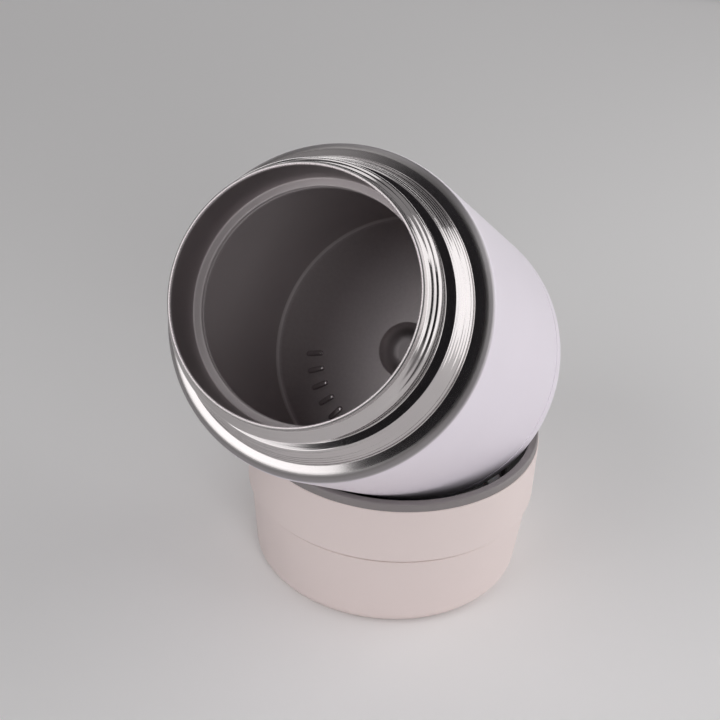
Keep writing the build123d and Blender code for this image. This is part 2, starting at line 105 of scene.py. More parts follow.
# Outlines of the jar's sheets from the lip down. Each corner is its inset from the straight wall,
# its depth below the lip and its bend, in mm, and RIPPLED where the rolling left ridges after it.
RIPPLED = True
SHELL_OUTSIDE = (
    (12.7, 0.0, 0.35),           # lip
    (12.7, 3.2, 1.4, RIPPLED),   # foot of the welded lip
    (9.8, 6.8, 2.4, RIPPLED),    # upper roll
    (10.2, 12.6, 1.4),
    (11.2, 15.9, 0.7),           # groove between the rolls
    (8.3, 16.6, 0.9, RIPPLED),   # lower roll
    (5.2, 24.1, 0.9),
    (5.3, 25.8, 0.6),            # foot of the shoulder
    (2.0, 27.15, 3.4),
    (0.4, 28.9, 2.2),            # crest of the shoulder
    (0.0, 31.0, 3.0),            # straight wall
    (0.0, 120.5, 0.6),
    (0.5, 121.0, 0.3),           # joint line
    (0.5, 126.2, 0.0),           # end of the hidden skirt
)
VESSEL_INSIDE = (
    (13.7, 0.0, 0.35),           # lip
    (13.7, 3.2, 0.0),
    (13.2, 17.8, 0.5),           # back of the ledge
    (15.6, 17.8, 0.45),          # front of the ledge
    (15.55, 18.75, 0.2),
    (15.3, 19.05, 0.2),          # shallow groove turned into the throat
    (15.3, 19.75, 0.2),
    (15.55, 20.05, 0.2),
    (15.5, 22.0, 2.0),           # end of the throat
    (4.1, 33.5, 6.0),            # shoulder of the vessel
    (4.1, 113.8, 1.8),           # floor
    (40.3, 113.8, 0.9),          # sunk middle
    (43.3, 116.6, 8.5),
    (49.7, 116.6, 0.0),
)
BASE_OUTSIDE = (
    (0.0, 121.4, 0.12),          # edge at the joint line
    (0.0, 130.3, 3.5),           # rounded edge
    (9.2, 130.3, 0.8),           # standing ring
    (10.2, 128.9, 0.8),
    (49.7, 128.9, 0.0),
)
JAR_HEIGHT = BASE_OUTSIDE[1][1] * MM

# Raised bars on the vessel floor
BAR_COUNT = 5
BAR_RING = 32.0 * MM
BAR_SIZE = (6.0 * MM, 1.9 * MM, 0.6 * MM)
BAR_PITCH = radians(10)
BAR_MIDDLE = radians(217)
BAR_CROWN = (0.35, 0.8)          # how squarely a bar draws in and rises; 1 is a round
BAR_CORNERS = (0.4, 0.7)         # how square its ends and its sides are, seen from above

# Lid: radii inside the collar's, and heights
COLLAR_WALL = 2.1 * MM
RING_WALL = 3.2 * MM
SPIGOT_INSET = 5.4 * MM
SPIGOT_WALL = 1.5 * MM
LINER_WALL = 1.7 * MM
PLATE_RADIUS = 33.0 * MM
CAP_LINE_RADIUS = 48.0 * MM      # top cap at the parting line
CAP_LOW_RADIUS = 45.4 * MM       # top cap where its rounded edge starts
CAP_EDGE = 5.0 * MM
CAP_WALL = 2.2 * MM
CAP_RIM_BEND = 0.3 * MM
COLLAR_TAPER = 0.2 * MM
COLLAR_LOW_BEND = 0.3 * MM
COLLAR_TOP_BEND = 0.4 * MM
WEB = 2.0 * MM
WEB_BEND = 0.8 * MM
SPIGOT_BEND = 0.8 * MM
SEAL_GROOVE = 0.9 * MM
RING_BEND = 0.7 * MM
RING_MOUTH_BEND = 0.6 * MM
LINER_STEP = 41.6 * MM           # wide mouth above, threaded bore below
LINER_STEP_WALL = 1.6 * MM
LINER_STEP_BEND = 0.8 * MM
LINER_STEP_EDGE = 0.6 * MM
GASKET_SEAT_BEND = 0.4 * MM
PLATE_EDGE = 0.6 * MM
THREAD_TOP = 39.6 * MM
THREAD_WIDTH = 2.0 * MM
THREAD_HEIGHT = 1.3 * MM
THREAD_SINK = 0.3 * MM
THREAD_COUNT = 4
THREAD_ARC = radians(62)
THREAD_RUNOUT = radians(16)
THREAD_CROWN = 0.7               # how squarely the thread stands; 1 is a round
THREAD_END_WIDTH = 0.5           # of its width, where it has run out


# ---- settings that a user would change ----

class JarSettings(bpy.types.PropertyGroup):
    """Sizes of the jar's steel parts."""
    body_radius: FloatProperty(
        name="Body radius", description="Outside of the straight wall",
        default=BODY_RADIUS, min=0.02, unit="LENGTH")
    height: FloatProperty(
        name="Height", description="Lip to standing ring",
        default=JAR_HEIGHT, min=0.05, unit="LENGTH")
    steel: FloatProperty(
        name="Steel", description="Thickness of each sheet",
        default=STEEL, min=0.0002, unit="LENGTH")
    facets: IntProperty(
        name="Facets", description="Sides of every turned piece",
        default=224, min=24)


class LidSettings(bpy.types.PropertyGroup):
    """Sizes of the lid's moulded parts."""
    radius: FloatProperty(
        name="Lid radius", description="Outside of the collar at its open edge",
        default=LID_RADIUS, min=0.02, unit="LENGTH")
    line_height: FloatProperty(
        name="Parting line", description="Height of the line between top cap and collar",
        default=LINE_HEIGHT, min=0.01, unit="LENGTH")


class FinishSettings(bpy.types.PropertyGroup):
    """Colours of the finishes."""
    pearl: FloatVectorProperty(
        name="Pearl paint", description="Satin paint on the jar's wall and base",
        subtype="COLOR", default=(0.83, 0.77, 0.85), min=0, max=1)
    steel: FloatVectorProperty(
        name="Polished steel", description="Bare rolled neck and shoulder",
        subtype="COLOR", default=(0.58, 0.55, 0.55), min=0, max=1)
    vessel: FloatVectorProperty(
        name="Vessel steel", description="Fine blasted inside",
        subtype="COLOR", default=(0.54, 0.49, 0.50), min=0, max=1)
    lid: FloatVectorProperty(
        name="Lid plastic", description="Matt moulded top cap and collar",
        subtype="COLOR", default=(0.83, 0.72, 0.70), min=0, max=1)
    liner: FloatVectorProperty(
        name="Liner plastic", description="Grey moulded ring and threaded liner",
        subtype="COLOR", default=(0.250, 0.228, 0.228), min=0, max=1)
    silicone: FloatVectorProperty(
        name="Silicone", description="Gasket and cap seal",
        subtype="COLOR", default=(0.62, 0.62, 0.61), min=0, max=1)


class StudioSettings(bpy.types.PropertyGroup):
    """Floor, lamps and world."""
    floor: FloatVectorProperty(
        name="Floor", description="Colour of the floor",
        subtype="COLOR", default=(0.90, 0.89, 0.89), min=0, max=1)
    world: FloatProperty(
        name="World", description="Strength of the even light from all round",
        default=0.32, min=0)
    key: FloatProperty(
        name="Key lamp", description="Large soft lamp on the right",
        default=1.75, min=0, unit="POWER")
    fill: FloatProperty(
        name="Fill lamp", description="Low soft lamp in front on the left",
        default=0.37, min=0, unit="POWER")
    mouth: FloatProperty(
        name="Mouth lamp", description="Round lamp that shines into the jar",
        default=1.55, min=0, unit="POWER")
    side: FloatProperty(
        name="Side lamp", description="Round lamp on the right that shines past the lip",
        default=2.0, min=0, unit="POWER")
    back: FloatProperty(
        name="Back lamp", description="Long low lamp behind that draws the upper edges",
        default=0.70, min=0, unit="POWER")
    top: FloatProperty(
        name="Top lamp", description="Round lamp high behind that draws the upper shoulder",
        default=0.85, min=0, unit="POWER")


class FoodJarSettings(bpy.types.PropertyGroup):
    """All settings of the food jar scene."""
    jar: PointerProperty(type=JarSettings)
    lid: PointerProperty(type=LidSettings)
    finish: PointerProperty(type=FinishSettings)
    studio: PointerProperty(type=StudioSettings)


# ---- shader maths as expressions ----

class Signal:
    """One output of a shader tree; arithmetic on it adds the nodes that work it out."""

    def __init__(self, tree, socket=None):
        self.tree = tree
        self.socket = socket

    def node(self, kind, settings=None, values=None, out=0):
        """Adds a node, its settings first and then the numbers or signals of its sockets."""
        made = self.tree.nodes.new(kind)
        for name, value in (settings or {}).items():
            setattr(made, name, value)
        for name, value in (values or {}).items():
            if isinstance(value, Signal):
                self.tree.links.new(value.socket, made.inputs[name])
            else:
                made.inputs[name].default_value = value
        return Signal(self.tree, made.outputs[out])

    def math(self, operation, *values):
        """A Math node on up to three numbers or signals."""
        return self.node("ShaderNodeMath", {"operation": operation}, dict(enumerate(values)))

    def __add__(self, other):
        return self.math("ADD", self, other)

    def __sub__(self, other):
        return self.math("SUBTRACT", self, other)

    def __mul__(self, other):
        return self.math("MULTIPLY", self, other)

    def __truediv__(self, other):
        return self.math("DIVIDE", self, other)

    def __rsub__(self, other):
        return self.math("SUBTRACT", other, self)

    __radd__ = __add__

    def fade(self, start, end):
        """0 up to start, 1 from end on, and smooth between them."""
        return self.node("ShaderNodeMapRange", {"interpolation_type": "SMOOTHSTEP"},
                         {"Value": self, "From Min": start, "From Max": end})

    def band(self, start, end, soft):
        """1 between start and end, with soft edges outside them."""
        return self.fade(start - soft, start) * (1 - self.fade(end, end + soft))

    def mix(self, first, second):
        """The first colour where this is 0 and the second where it is 1."""
        return self.node("ShaderNodeMix", {"data_type": "RGBA"},
                         {0: self, 6: colour(first), 7: colour(second)}, out=2)

    def shade(self, tone, darkest, lightest):
        """The tone times darkest where this is 0 and times lightest where it is 1."""
        return self.mix(tinted(tone, darkest), tinted(tone, lightest))

    def noise(self, scale, detail, roughness=0.5):
        """Noise round 0.5 at this place."""
        return self.node("ShaderNodeTexNoise", None,
                         {"Vector": self, "Scale": scale, "Detail": detail, "Roughness": roughness})

    def bump(self, distance, under=None):
        """A normal from this height, where 1 stands distance metres proud."""
        values = {"Height": self, "Strength": 1.0, "Distance": distance}
        if under:
            values["Normal"] = under
        return self.node("ShaderNodeBump", None, values)


def colour(value):
    """A colour socket's value: a signal as it is, or three numbers with full alpha."""
    return value if isinstance(value, Signal) else (*value, 1.0)


def tinted(value, amount):
    """A colour made darker or lighter by a factor."""
    return tuple(min(1.0, channel * amount) for channel in value)


def new_material(name):
    """An empty material and the start of its tree."""
    material = bpy.data.materials.new(name)
    material.use_nodes = True
    material.node_tree.nodes.clear()
    return material, Signal(material.node_tree)


def end_material(shader):
    """Makes a shader the surface of its material."""
    end = shader.tree.nodes.new("ShaderNodeOutputMaterial")
    shader.tree.links.new(shader.socket, end.inputs["Surface"])


def close_material(start, **values):
    """Feeds the Principled shader with the named sockets and ends the tree."""
    sockets = {name.replace("_", " "): value for name, value in values.items()}
    sockets["Base Color"] = colour(sockets["Base Color"])
    end_material(start.node("ShaderNodeBsdfPrincipled", None, sockets))


def object_place(start):
    """The place on the piece at rest, in metres."""
    return start.node("ShaderNodeTexCoord", out="Object")


def round_axis(place):
    """Distance from the Z axis, height, and direction round it in turns, of a place."""
    apart = place.node("ShaderNodeSeparateXYZ", None, {"Vector": place})
    across = Signal(place.tree, apart.socket.node.outputs["X"])
    along = Signal(place.tree, apart.socket.node.outputs["Y"])
    height = Signal(place.tree, apart.socket.node.outputs["Z"])
    radius = place.math("SQRT", across * across + along * along)
    turn = place.math("ARCTAN2", along, across) / (2 * pi)
    return radius, height, turn


def jar_place(start):
    """The place on the jar as it would be standing upright with its foot at the origin."""
    return start.node("ShaderNodeMapping", {"vector_type": "TEXTURE"}, {
        "Vector": object_place(start),
        "Location": JAR_FOOT,
        "Rotation": (JAR_TILT, 0, 0),
    })


# ---- finishes ----

# Depths below the lip, in mm, over which one finish passes into the next. The third number of
# a band is how soft its edges are.
SHELL_LIP = (0.3, 0.6)
SHELL_SHOULDER = (25.2, 25.9)
SHELL_CREST = (26.6, 27.4)
THIN_PAINT = (27.2, 28.4)
FULL_PAINT = (28.5, 30.3)
THIN_SHARE = 0.12                # of the paint, on the crest
VESSEL_LIP = (0.25, 0.6)
VESSEL_NECK = (1.0, 17.2, 0.4)
VESSEL_LEDGE = (17.3, 18.2, 0.25)
FLOOR_MM = FLOOR_DEPTH / MM
VESSEL_FLOOR = (FLOOR_MM - 1.2, FLOOR_MM - 0.2)
# painted highlight: depths of the floor's rounded corner that are coloured lighter
VESSEL_CORNER_HIGHLIGHT = (FLOOR_MM - 1.3, FLOOR_MM - 0.5, 0.3)
VESSEL_SUNK = (FLOOR_MM + 0.8, FLOOR_MM + 2.2)
FOOT_RUB = 0.6 * MM              # height of the worn part of the standing ring
# painted shade inside the lid, below the rim ring
LINER_PAINTED_SHADE = (RIM_TOP - 4.5 * MM, RIM_TOP - 3.0 * MM)   # heights

# Noise on the surfaces: scale per metre, detail and, where it isn't 0.5, roughness
PAINT_CLOUD = (38.0, 3.0)
PAINT_GRAIN = (1500.0, 1.0)
PAINT_PEEL = (420.0, 1.0)
STEEL_SMUDGE = (90.0, 4.0, 0.6)
FOOT_WEAR = (700.0, 4.0, 0.65)
VESSEL_BLAST = (2600.0, 2.0, 0.6)
VESSEL_SPECKLE = (900.0, 2.0, 0.7)
VESSEL_CLOUD = (30.0, 3.0)
LID_CLOUD = (24.0, 3.0)
LID_SPARK = (3200.0, 1.5, 0.6)
LINER_CLOUD = (30.0, 3.0)
SILICONE_DUST = (700.0, 4.0, 0.65)
FOIL_CREASES = (260.0, 4.0, 0.55)
SHEET_MOTTLE = (140.0, 4.0, 0.6)
SHEET_LINES = (60.0, 2.0)        # per metre along X, and 40 times as close across it
BEAD_MOTTLE = (500.0, 3.0)
FLOOR_CLOUD = (3.0, 2.0)
FOAM_CELLS = 900.0               # scale alone

# Noise drawn out to turning lines: the same, with the scale per millimetre
SHELL_LINES = (1.6, 1.5, 0.6)
SHELL_FINE_LINES = (6.5, 1.0)
VESSEL_LINES = (1.6, 3.0, 0.6)
LINER_LINES = (2.2, 2.0)

# Colours that aren't settings
STAMPED_STEEL = (0.56, 0.52, 0.53)
DISH_STEEL = (0.52, 0.51, 0.50)
GETTER_TIN = (0.40, 0.39, 0.38)
FOAM_LIGHT, FOAM_DARK = (0.80, 0.77, 0.66), (0.62, 0.59, 0.50)
FOIL_DARK, FOIL_LIGHT = (0.84, 0.84, 0.85), (0.92, 0.92, 0.92)
BEAD_DARK, BEAD_LIGHT = (0.10, 0.09, 0.08), (0.18, 0.16, 0.14)
HOOD_BLACK = (0.045, 0.043, 0.047)
CARD_BLACK = (0.03, 0.029, 0.031)
SKY = (1.0, 0.985, 0.99)


def turning_lines(place, depth, turn, stretch, noise):
    """Noise drawn out to lines round the axis, with stretch lengths of it in a turn."""
    rolled = place.node("ShaderNodeCombineXYZ", None, {"X": depth, "Y": turn * stretch})
    return rolled.noise(*noise)


def paint_colour(place, finish):
    """Pearl paint with a slight cloud."""
    return place.noise(*PAINT_CLOUD).shade(finish.pearl, 0.985, 1.015)


def shell_finish(jar, finish):
    """Polished rolls, satin shoulder, then satin pearl paint that starts with a soft edge."""
    material, start = new_material("pearl_shell")
    place = jar_place(start)
    _, height, turn = round_axis(place)
    depth = (jar.height - height) / MM
    shoulder = depth.fade(*SHELL_SHOULDER)
    crest = depth.fade(*SHELL_CREST)
    lip = 1 - depth.fade(*SHELL_LIP)
    painted = (depth.fade(*THIN_PAINT) * THIN_SHARE
               + depth.fade(*FULL_PAINT) * (1 - THIN_SHARE))
    lines = turning_lines(place, depth, turn, 0.25, SHELL_LINES)
    finest = turning_lines(place, depth, turn, 0.25, SHELL_FINE_LINES)
    smudge = place.noise(*STEEL_SMUDGE)
    spun = (lines + finest * 0.15) * (1 - shoulder)
    peel = place.noise(*PAINT_PEEL) * painted
    steel = (crest + lip).mix(smudge.shade(finish.steel, 0.93, 1.05), tinted(finish.steel, 0.47))
    bare_rough = 0.085 + smudge * 0.05 + shoulder * 0.07 + crest * 0.24 + lip * 0.2
    paint_rough = 0.38 + place.noise(*PAINT_GRAIN) * 0.04
    close_material(
        start,
        Base_Color=painted.mix(steel, paint_colour(place, finish)),
        Metallic=1.0 - painted,
        Roughness=bare_rough * (1 - painted) + paint_rough * painted,
        Normal=peel.bump(0.004 * MM, spun.bump(0.045 * MM)),
    )
    return material


def base_finish(finish):
    """The same pearl paint as the wall, rubbed a little duller on the standing ring."""
    material, start = new_material("pearl_base")
    place = jar_place(start)
    _, height, _ = round_axis(place)
    foot = 1 - height.fade(0.0, FOOT_RUB)
    rub = place.noise(*FOOT_WEAR).fade(0.42, 0.8) * foot
    close_material(
        start,
        Base_Color=rub.mix(paint_colour(place, finish), tinted(finish.pearl, 0.88)),
        Roughness=0.40 + rub * 0.15,
        Normal=place.noise(*PAINT_PEEL).bump(0.004 * MM),
    )
    return material


def vessel_finish(jar, finish):
    """Fine blasted steel, with a painted highlight at the floor's corner and painted shade in the
    neck and sunk middle.
    """
    material, start = new_material("vessel_steel")
    place = jar_place(start)
    _, height, turn = round_axis(place)
    depth = (jar.height - height) / MM
    ledge = depth.band(*VESSEL_LEDGE)
    lip = 1 - depth.fade(*VESSEL_LIP)
    # painted shade: the neck band takes half of the darkened vessel colour; it also sets metallic
    # and roughness
    neck = depth.band(*VESSEL_NECK)
    on_floor = depth.fade(*VESSEL_FLOOR)
    # painted highlight: lighter steel colour along the floor's rounded corner
    corner = depth.band(*VESSEL_CORNER_HIGHLIGHT)
    # painted shade: the sunk middle takes the darkened vessel colour; it also sets metallic
    sunk = depth.fade(*VESSEL_SUNK)
    turned = turning_lines(place, depth, turn, 6.0, VESSEL_LINES) * (1 - on_floor)
    blasted = place.noise(*VESSEL_BLAST)
    speckle = place.noise(*VESSEL_SPECKLE)
    cloud = place.noise(*VESSEL_CLOUD)
    bright = (speckle - 0.5) * on_floor * 0.35 + (cloud - 0.5) * 0.25 + 0.1 - lip * 0.1
    close_material(
        start,
        Base_Color=(sunk + neck * 0.5).mix(
            (bright + corner).mix(finish.vessel, tinted(finish.steel, 1.4)),
            tinted(finish.vessel, 0.5)),
        Metallic=0.5 + sunk * 0.5 + neck * 0.45 - ledge * 0.3,
        Roughness=(0.36 + on_floor * 0.06 + ledge * 0.2 + neck * 0.12 - lip * 0.08
                   + (blasted - 0.5) * 0.10),
        Normal=(blasted * (0.35 + on_floor * 0.65)).bump(
            0.006 * MM, turned.bump(0.010 * MM)),
    )
    return material


def lid_finish(finish, name):
    """Matt plastic with a fine spark texture and a slight flow cloud."""
    material, start = new_material(name)
    place = object_place(start)
    spark = place.noise(*LID_SPARK)
    close_material(
        start,
        Base_Color=place.noise(*LID_CLOUD).shade(finish.lid, 0.98, 1.02),
        Roughness=0.50 + spark * 0.10,
        Specular_IOR_Level=0.42,
        Normal=spark.bump(0.006 * MM),
    )
    return material


def liner_finish(finish):
    """Grey satin plastic with faint turning lines, and painted shade below the rim ring."""
    material, start = new_material("liner_grey")
    place = object_place(start)
    radius, height, turn = round_axis(place)
    lines = turning_lines(place, radius / MM, turn, 2.0, LINER_LINES)
    cloud = place.noise(*LINER_CLOUD)
    # painted shade: below the rim ring the liner takes a much darker grey
    ring = height.fade(*LINER_PAINTED_SHADE)
    close_material(
        start,
        Base_Color=ring.mix(tinted(finish.liner, 0.22), cloud.shade(finish.liner, 0.93, 1.07)),
        Roughness=0.36 + cloud * 0.08,
        Normal=lines.bump(0.010 * MM),
    )
    return material


def silicone_finish(finish, name):
    """Soft translucent-looking silicone with a dusty surface."""
    material, start = new_material(name)
    dust = object_place(start).noise(*SILICONE_DUST)
    close_material(
        start,
        Base_Color=dust.shade(finish.silicone, 0.93, 1.05),
        Roughness=0.42 + dust * 0.18,
        Subsurface_Weight=0.15,
        Subsurface_Scale=0.002,
        Normal=dust.bump(0.008 * MM),
    )
    return material


def foam_finish():
    """Closed-cell foam."""
    material, start = new_material("closed_cell_foam")
    cells = start.node("ShaderNodeTexVoronoi", {"feature": "F1"},
                       {"Vector": object_place(start), "Scale": FOAM_CELLS}, out="Distance")
    close_material(
        start,
        Base_Color=cells.mix(FOAM_LIGHT, FOAM_DARK),
        Roughness=0.85,
        Normal=cells.bump(0.12 * MM),
    )
    return material


def foil_finish():
    """Bright crinkled foil."""
    material, start = new_material("bright_foil")
    creases = object_place(start).noise(*FOIL_CREASES)
    close_material(
        start,
        Base_Color=creases.mix(FOIL_DARK, FOIL_LIGHT),
        Metallic=1.0,
        Roughness=0.16 + creases * 0.10,
        Normal=creases.bump(0.25 * MM),
    )
    return material


def sheet_steel_finish(name, tone, roughness):
    """Plain pressed steel with rolling lines and a mottled surface."""
    material, start = new_material(name)
    place = object_place(start)
    mottle = place.noise(*SHEET_MOTTLE)
    long_way = start.node("ShaderNodeMapping", None, {"Vector": place, "Scale": (1.0, 40.0, 40.0)})
    lines = long_way.noise(*SHEET_LINES)
    close_material(
        start,
        Base_Color=mottle.shade(tone, 0.9, 1.08),
        Metallic=1.0,
        Roughness=roughness + mottle * 0.12,
        Normal=lines.bump(0.012 * MM),
    )
    return material


def bead_finish():
    """Dark fused bead that closes the evacuation hole."""
    material, start = new_material("fused_bead")
    mottle = object_place(start).noise(*BEAD_MOTTLE)
    close_material(
        start,
        Base_Color=mottle.mix(BEAD_DARK, BEAD_LIGHT),
        Roughness=0.18 + mottle * 0.15,
        Coat_Weight=0.4,
        Normal=mottle.bump(0.05 * MM),
    )
    return material


def floor_finish(tone):
    """Plain pale floor."""
    material, start = new_material("pale_floor")
    close_material(
        start,
        Base_Color=object_place(start).noise(*FLOOR_CLOUD).shade(tone, 0.99, 1.01),
        Roughness=0.75,
        Specular_IOR_Level=0.2,
    )
    return material


def hood_finish(middle):
    """Matt black that thins out to nothing towards the hood's edge."""
    material, start = new_material("black_hood")
    spoke = start.node("ShaderNodeVectorMath", {"operation": "SUBTRACT"},
                       {0: object_place(start), 1: AIM})
    toward = spoke.node("ShaderNodeVectorMath", {"operation": "DOT_PRODUCT"},
                        {0: spoke, 1: middle}, out="Value") / HOOD_RADIUS
    thick = toward.fade(cos(HOOD_REACH), cos(HOOD_REACH - HOOD_SOFT))
    black = start.node("ShaderNodeBsdfDiffuse", None, {"Color": colour(HOOD_BLACK)})
    clear = start.node("ShaderNodeBsdfTransparent")
    end_material(start.node("ShaderNodeMixShader", None, {0: thick, 1: clear, 2: black}))
    return material


# ---- turned pieces ----

def swung(direction, angle):
    """A direction in the outline's plane turned by an angle."""
    return Vector((direction.x * cos(angle) - direction.y * sin(angle),
                   direction.x * sin(angle) + direction.y * cos(angle)))


def shifted(path, wall):
    """The corners of a path moved sideways, to the left of the way it runs."""
    ways = [(Vector(b[:2]) - Vector(a[:2])).normalized() for a, b in zip(path, path[1:])]
    sides = [Vector((-way.y, way.x)) for way in ways]
    moved = [(*(Vector(path[0][:2]) + sides[0] * wall), 0)]
    for here, side, after in zip(path[1:], sides, sides[1:]):
        scale = wall / (1 + side.dot(after))
        left_turn = side.x * after.y - side.y * after.x > 0
        bend = here[2] - wall if left_turn else here[2] + wall
        bend = max(bend, 0) if here[2] > 0 else 0
        moved.append((*(Vector(here[:2]) + (side + after) * scale), bend))
    moved.append((*(Vector(path[-1][:2]) + sides[-1] * wall), 0))
    return moved


def sheet_outline(outline, wall, jar):
    """Closed outline of a sheet from its (inset, depth, bend) corners."""
    path = [(max(jar.body_radius - inset * MM, 0), jar.height - depth * MM, bend * MM, *ridges)
            for inset, depth, bend, *ridges in outline]
    return path + shifted(path, wall)[::-1]


def ridge_points(start, end):
    """Points of a straight run with sunk ridges of one pitch, each with its way."""
    run = end - start
    count = max(1, round(run.length / RIDGE_PITCH))
    way = run.normalized()
    inward = Vector((-way.y, way.x))
    points = []
    for step in range(1, count * RIDGE_STEPS):
        share = step / (count * RIDGE_STEPS)
        swell = 2 * pi * count * share
        height = RIDGE_HEIGHT * RIDGE_SHARES[step // RIDGE_STEPS % len(RIDGE_SHARES)]
        sink = height * (1 - cos(swell)) / 2
        slope = height * sin(swell) / 2 * 2 * pi * count / run.length
        ahead = (way + inward * slope).normalized()
        points.append((start + run * share + inward * sink, ahead, ahead))
    return points


def rounded(corners):
    """Points of a closed outline with an arc in every bend, each with its way in and out.
    The outline runs anticlockwise round its material, and a ridged run follows a ridged corner."""
    area = sum(a[0] * b[1] - b[0] * a[1] for a, b in zip(corners, corners[1:] + corners[:1]))
    if area < 0:
        ridged = [len(corner) > 3 for corner in corners]
        corners = [corner[:3] for corner in corners]
        corners = [(*corner, RIPPLED) if before else corner
                   for corner, before in zip(corners, ridged[-1:] + ridged)][::-1]
    points = []
    ridged = False
    for before, here, after in zip(corners[-1:] + corners, corners, corners[1:] + corners[:1]):
        place = Vector(here[:2])
        arrive = (place - Vector(before[:2])).normalized()
        leave = (Vector(after[:2]) - place).normalized()
        turn = leave.angle_signed(arrive)
        start = place - arrive * here[2] * tan(abs(turn) / 2)
        if ridged:
            points += ridge_points(points[-1][0], start)
        ridged = len(here) > 3
        if here[2] <= 0 or abs(turn) < radians(1):
            points.append((place, arrive, leave))
            continue
        spoke = swung(arrive, -pi / 2 if turn > 0 else pi / 2) * here[2]
        steps = max(2, ceil(abs(turn) / ARC_STEP))
        for step in range(steps + 1):
            angle = turn * step / steps
            way = swung(arrive, angle)
            points.append((start - spoke + swung(spoke, angle), way, way))
    return points


def spin(name, corners, facets, place=Matrix()):
    """Turns a closed outline round the Z axis and gives the mesh the outline's own normals."""
    points = rounded(corners)
    rings = []
    spots = []
    for spot, arrive, leave in points:
        on_axis = spot.x < 1e-7
        rings.append((len(spots), on_axis))
        for step in range(1 if on_axis else facets):
            angle = 2 * pi * step / facets
            spots.append(place @ Vector((spot.x * cos(angle), spot.x * sin(angle), spot.y)))
    faces = []
    normals = []
    turn = place.to_3x3()
    for near in range(len(points)):
        far = (near + 1) % len(points)
        (near_ring, near_axis), (far_ring, far_axis) = rings[near], rings[far]
        if near_axis and far_axis:
            continue
        near_way, far_way = points[near][2], points[far][1]
        for step in range(facets):
            after = (step + 1) % facets
            here, there = 2 * pi * step / facets, 2 * pi * (step + 1) / facets
            loops = []
            if near_axis:
                loops.append((near_ring, (here + there) / 2, near_way))
            else:
                loops.append((near_ring + step, here, near_way))
                loops.append((near_ring + after, there, near_way))
            if far_axis:
                loops.append((far_ring, (here + there) / 2, far_way))
            else:
                loops.append((far_ring + after, there, far_way))
                loops.append((far_ring + step, here, far_way))
            faces.append([loop[0] for loop in loops])
            normals += [turn @ Vector((way.y * cos(angle), way.y * sin(angle), -way.x))
                        for _, angle, way in loops]
    return new_piece(name, spots, faces, normals)


def new_piece(name, spots, faces, normals=None):
    """A smooth-shaded mesh object, with its own normals where they are given."""
    mesh = bpy.data.meshes.new(name)
    mesh.from_pydata(spots, [], faces)
    mesh.polygons.foreach_set("use_smooth", [True] * len(faces))
    if normals:
        mesh.normals_split_custom_set(normals)
    mesh.update()
    piece = bpy.data.objects.new(name, mesh)
    bpy.context.scene.collection.objects.link(piece)
    return piece


def dress(piece, material, body, slot, *nodes):
    """Gives a piece its finish and its body, and hides the nodes it stands for; the slot is not
    used.
    """
    piece.data.materials.append(material)
    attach(piece, body)
    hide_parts(*nodes)


def refinish(node, material):
    """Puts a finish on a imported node."""
    for place in frame["nodes"][node].material_slots:
        place.material = material


def squared(value, power):
    """A number from -1 to 1 to a power, with its sign kept."""
    return abs(value) ** power * (1 if value >= 0 else -1)


def bar_mesh(place, around=28, up=7):
    """Spots and faces of a flat bar with soft edges and ends, its foot at Z = 0."""
    length, width, height = BAR_SIZE
    spots = []
    for row in range(up):
        rise = (pi / 2) * row / (up - 1)
        shrink = cos(rise) ** BAR_CROWN[0] if row < up - 1 else 0.0
        for step in range(around):
            angle = 2 * pi * step / around
            across = squared(cos(angle), BAR_CORNERS[0])
            along = squared(sin(angle), BAR_CORNERS[1])
            spots.append(place @ Vector((across * shrink * length / 2, along * shrink * width / 2,
                                         sin(rise) ** BAR_CROWN[1] * height)))
    faces = [(row * around + step, row * around + (step + 1) % around,
              (row + 1) * around + (step + 1) % around, (row + 1) * around + step)
             for row in range(up - 1) for step in range(around)]
    return spots, faces


# ---- the pieces ----

class FOODJAR_OT_shell(bpy.types.Operator):
    """Spin the outer shell: lip, two rolls, shoulder and straight wall"""
    bl_idname = "food_jar.shell"
    bl_label = "Outer Shell"

    def execute(self, context):
        settings = context.scene.food_jar
        outline = sheet_outline(SHELL_OUTSIDE, -settings.jar.steel, settings.jar)
        shell = spin("shell_body", outline, settings.jar.facets, LEAN)
        dress(shell, shell_finish(settings.jar, settings.finish), "jar",
              "shell_coat", "outer_shell")
        return {"FINISHED"}


class FOODJAR_OT_vessel(bpy.types.Operator):
    """Spin the food vessel with its ledge, floor and sunk middle, and set bars on the floor"""
    bl_idname = "food_jar.vessel"
    bl_label = "Food Vessel"

    def execute(self, context):
        settings = context.scene.food_jar
        outline = sheet_outline(VESSEL_INSIDE, settings.jar.steel, settings.jar)
        vessel = spin("food_vessel", outline, settings.jar.facets, LEAN)
        finish = vessel_finish(settings.jar, settings.finish)
        dress(vessel, finish, "jar", "vessel_steel", "inner_vessel")
        spots, faces = [], []
        for step in range(BAR_COUNT):
            angle = BAR_MIDDLE + (step - (BAR_COUNT - 1) / 2) * BAR_PITCH
            place = (LEAN @ Matrix.Rotation(angle, 4, "Z")
                     @ Matrix.Translation((BAR_RING, 0, settings.jar.height - FLOOR_DEPTH)))
            bar_spots, bar_faces = bar_mesh(place)
            faces += [[corner + len(spots) for corner in face] for face in bar_faces]
            spots += bar_spots
        bars = new_piece("floor_bars", spots, faces)
        dress(bars, sheet_steel_finish("stamped_steel", STAMPED_STEEL, 0.16), "jar",
              "vessel_steel", "inner_vessel")
        return {"FINISHED"}


